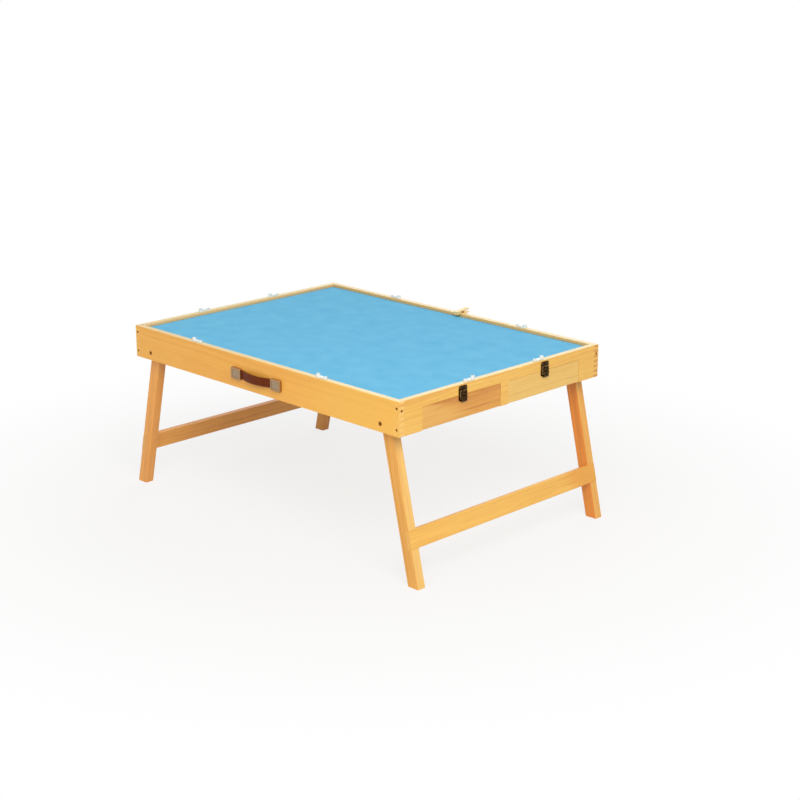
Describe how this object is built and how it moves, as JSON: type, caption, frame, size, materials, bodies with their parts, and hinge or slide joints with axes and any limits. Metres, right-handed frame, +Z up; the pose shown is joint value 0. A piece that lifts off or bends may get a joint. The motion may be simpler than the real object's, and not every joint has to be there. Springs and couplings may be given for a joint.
{
  "type": "puzzle table",
  "caption": "Low folding wooden puzzle table: felt-lined tray in a finger-jointed frame, latched end drawers, fold-in splayed legs, a leather strap handle and turn clips on the rim.",
  "frame": {"origin": "on the ground, under the middle of the table", "axes": "+X along the long sides towards one drawer end, +Y towards the long side opposite the carrying handle, +Z up"},
  "size_m": [0.9808, 0.675, 0.4215],
  "materials": {
    "frame_pine": "clear-lacquered pine, sanded, warm honey yellow",
    "drawer_pine": "clear-lacquered pine with strong straight grain",
    "inner_wood": "planed unfinished pine",
    "plywood": "sanded thin plywood",
    "leg_pine": "clear-lacquered pine, orange brown",
    "felt": "pressed sky-blue felt",
    "latch_bronze": "dark antiqued brass plating with worn bright edges",
    "dark_steel": "brown-black oxide",
    "zinc_steel": "bright zinc plate",
    "strap_leather": "smooth red-brown leather with sewn edges",
    "cap_metal": "satin champagne plating on pressed steel",
    "white_plastic": "moulded white plastic",
    "clip_wood": "planed pale birch"
  },
  "bodies": {
    "table_top": {"back_rail": "frame_pine", "front_rail": "frame_pine", "right_rail": "frame_pine", "left_rail": "frame_pine", "corner_screws": "dark_steel", "tray_board": "plywood", "felt_mat": "felt", "centre_runners": "inner_wood", "side_runners": "inner_wood", "latch_catches": "latch_bronze", "leg_stop_blocks": "inner_wood", "pivot_bolts": "dark_steel", "pivot_washers": "zinc_steel", "pivot_nuts": "zinc_steel", "handle_strap": "strap_leather", "handle_screws": "zinc_steel", "handle_caps": "cap_metal", "turn_clip_screws": "zinc_steel", "picture_clip_base": "clip_wood", "picture_clip_spring": "zinc_steel"},
    "drawer_right_back": {"drawer_front_right_back": "drawer_pine", "drawer_walls_right_back": "inner_wood", "drawer_floor_right_back": "plywood", "latch_plate_right_back": "latch_bronze"},
    "latch_lever_right_back": {"latch_lever_right_back": "latch_bronze"},
    "latch_bail_right_back": {"latch_bail_right_back": "latch_bronze"},
    "drawer_right_front": {"drawer_front_right_front": "drawer_pine", "drawer_walls_right_front": "inner_wood", "drawer_floor_right_front": "plywood", "latch_plate_right_front": "latch_bronze"},
    "latch_lever_right_front": {"latch_lever_right_front": "latch_bronze"},
    "latch_bail_right_front": {"latch_bail_right_front": "latch_bronze"},
    "drawer_left_front": {"drawer_front_left_front": "drawer_pine", "drawer_walls_left_front": "inner_wood", "drawer_floor_left_front": "plywood", "latch_plate_left_front": "latch_bronze"},
    "latch_lever_left_front": {"latch_lever_left_front": "latch_bronze"},
    "latch_bail_left_front": {"latch_bail_left_front": "latch_bronze"},
    "drawer_left_back": {"drawer_front_left_back": "drawer_pine", "drawer_walls_left_back": "inner_wood", "drawer_floor_left_back": "plywood", "latch_plate_left_back": "latch_bronze"},
    "latch_lever_left_back": {"latch_lever_left_back": "latch_bronze"},
    "latch_bail_left_back": {"latch_bail_left_back": "latch_bronze"},
    "leg_frame_right": {"leg_right_back": "leg_pine", "leg_right_front": "leg_pine", "crossbar_right": "leg_pine"},
    "leg_frame_left": {"leg_left_back": "leg_pine", "leg_left_front": "leg_pine", "crossbar_left": "leg_pine"},
    "turn_clip_front_left": {"turn_clip_front_left": "white_plastic"},
    "turn_clip_front_right": {"turn_clip_front_right": "white_plastic"},
    "turn_clip_right_front": {"turn_clip_right_front": "white_plastic"},
    "turn_clip_right_back": {"turn_clip_right_back": "white_plastic"},
    "turn_clip_back_right": {"turn_clip_back_right": "white_plastic"},
    "turn_clip_back_left": {"turn_clip_back_left": "white_plastic"},
    "turn_clip_left_back": {"turn_clip_left_back": "white_plastic"},
    "turn_clip_left_front": {"turn_clip_left_front": "white_plastic"},
    "picture_clip_arm": {"picture_clip_arm": "clip_wood"}
  },
  "joints": [
    {"name": "drawer_right_back_slide", "type": "slide", "parent": "table_top", "child": "drawer_right_back", "axis": [1, 0, 0], "range_m": [0, 0.2]},
    {"name": "latch_lever_right_back_turn", "type": "hinge", "parent": "drawer_right_back", "child": "latch_lever_right_back", "pos_m": [0.4538, 0.134, 0.3816], "axis": [0, -1, 0], "range_deg": [0, 120]},
    {"name": "latch_bail_right_back_turn", "type": "hinge", "parent": "latch_lever_right_back", "child": "latch_bail_right_back", "pos_m": [0.4534, 0.134, 0.378], "axis": [0, -1, 0], "range_deg": [-120, 0]},
    {"name": "drawer_right_front_slide", "type": "slide", "parent": "table_top", "child": "drawer_right_front", "axis": [1, 0, 0], "range_m": [0, 0.2]},
    {"name": "latch_lever_right_front_turn", "type": "hinge", "parent": "drawer_right_front", "child": "latch_lever_right_front", "pos_m": [0.4538, -0.134, 0.3816], "axis": [0, -1, 0], "range_deg": [0, 120]},
    {"name": "latch_bail_right_front_turn", "type": "hinge", "parent": "latch_lever_right_front", "child": "latch_bail_right_front", "pos_m": [0.4534, -0.134, 0.378], "axis": [0, -1, 0], "range_deg": [-120, 0]},
    {"name": "drawer_left_front_slide", "type": "slide", "parent": "table_top", "child": "drawer_left_front", "axis": [-1, 0, 0], "range_m": [0, 0.2]},
    {"name": "latch_lever_left_front_turn", "type": "hinge", "parent": "drawer_left_front", "child": "latch_lever_left_front", "pos_m": [-0.4538, -0.134, 0.3816], "axis": [0, 1, 0], "range_deg": [0, 120]},
    {"name": "latch_bail_left_front_turn", "type": "hinge", "parent": "latch_lever_left_front", "child": "latch_bail_left_front", "pos_m": [-0.4534, -0.134, 0.378], "axis": [0, 1, 0], "range_deg": [-120, 0]},
    {"name": "drawer_left_back_slide", "type": "slide", "parent": "table_top", "child": "drawer_left_back", "axis": [-1, 0, 0], "range_m": [0, 0.2]},
    {"name": "latch_lever_left_back_turn", "type": "hinge", "parent": "drawer_left_back", "child": "latch_lever_left_back", "pos_m": [-0.4538, 0.134, 0.3816], "axis": [0, 1, 0], "range_deg": [0, 120]},
    {"name": "latch_bail_left_back_turn", "type": "hinge", "parent": "latch_lever_left_back", "child": "latch_bail_left_back", "pos_m": [-0.4534, 0.134, 0.378], "axis": [0, 1, 0], "range_deg": [-120, 0]},
    {"name": "leg_frame_right_fold", "type": "hinge", "parent": "table_top", "child": "leg_frame_right", "pos_m": [0.394, 0, 0.351], "axis": [0, 1, 0], "range_deg": [0, 103]},
    {"name": "leg_frame_left_fold", "type": "hinge", "parent": "table_top", "child": "leg_frame_left", "pos_m": [-0.394, 0, 0.351], "axis": [0, -1, 0], "range_deg": [0, 103]},
    {"name": "turn_clip_front_left_turn", "type": "hinge", "parent": "table_top", "child": "turn_clip_front_left", "pos_m": [-0.2325, -0.3175, 0.41], "axis": [0, 0, 1], "continuous": true},
    {"name": "turn_clip_front_right_turn", "type": "hinge", "parent": "table_top", "child": "turn_clip_front_right", "pos_m": [0.1955, -0.3175, 0.41], "axis": [0, 0, 1], "continuous": true},
    {"name": "turn_clip_right_front_turn", "type": "hinge", "parent": "table_top", "child": "turn_clip_right_front", "pos_m": [0.4425, -0.095, 0.41], "axis": [0, 0, 1], "continuous": true},
    {"name": "turn_clip_right_back_turn", "type": "hinge", "parent": "table_top", "child": "turn_clip_right_back", "pos_m": [0.4425, 0.132, 0.41], "axis": [0, 0, 1], "continuous": true},
    {"name": "turn_clip_back_right_turn", "type": "hinge", "parent": "table_top", "child": "turn_clip_back_right", "pos_m": [0.2325, 0.3175, 0.41], "axis": [0, 0, 1], "continuous": true},
    {"name": "turn_clip_back_left_turn", "type": "hinge", "parent": "table_top", "child": "turn_clip_back_left", "pos_m": [-0.1955, 0.3175, 0.41], "axis": [0, 0, 1], "continuous": true},
    {"name": "turn_clip_left_back_turn", "type": "hinge", "parent": "table_top", "child": "turn_clip_left_back", "pos_m": [-0.4425, 0.095, 0.41], "axis": [0, 0, 1], "continuous": true},
    {"name": "turn_clip_left_front_turn", "type": "hinge", "parent": "table_top", "child": "turn_clip_left_front", "pos_m": [-0.4425, -0.132, 0.41], "axis": [0, 0, 1], "continuous": true},
    {"name": "picture_clip_squeeze", "type": "hinge", "parent": "table_top", "child": "picture_clip_arm", "pos_m": [0.025, 0.3155, 0.4145], "axis": [-1, 0, 0], "range_deg": [0, 12], "stiffness_Nm_per_rad": 0.15, "springref_deg": -17.19, "deforming": ["picture_clip_spring"]}
  ],
  "couplings": [
    {"joint": "latch_bail_right_back_turn", "follows": "latch_lever_right_back_turn", "ratio": -1},
    {"joint": "latch_bail_right_front_turn", "follows": "latch_lever_right_front_turn", "ratio": -1},
    {"joint": "latch_bail_left_front_turn", "follows": "latch_lever_left_front_turn", "ratio": -1},
    {"joint": "latch_bail_left_back_turn", "follows": "latch_lever_left_back_turn", "ratio": -1}
  ]
}
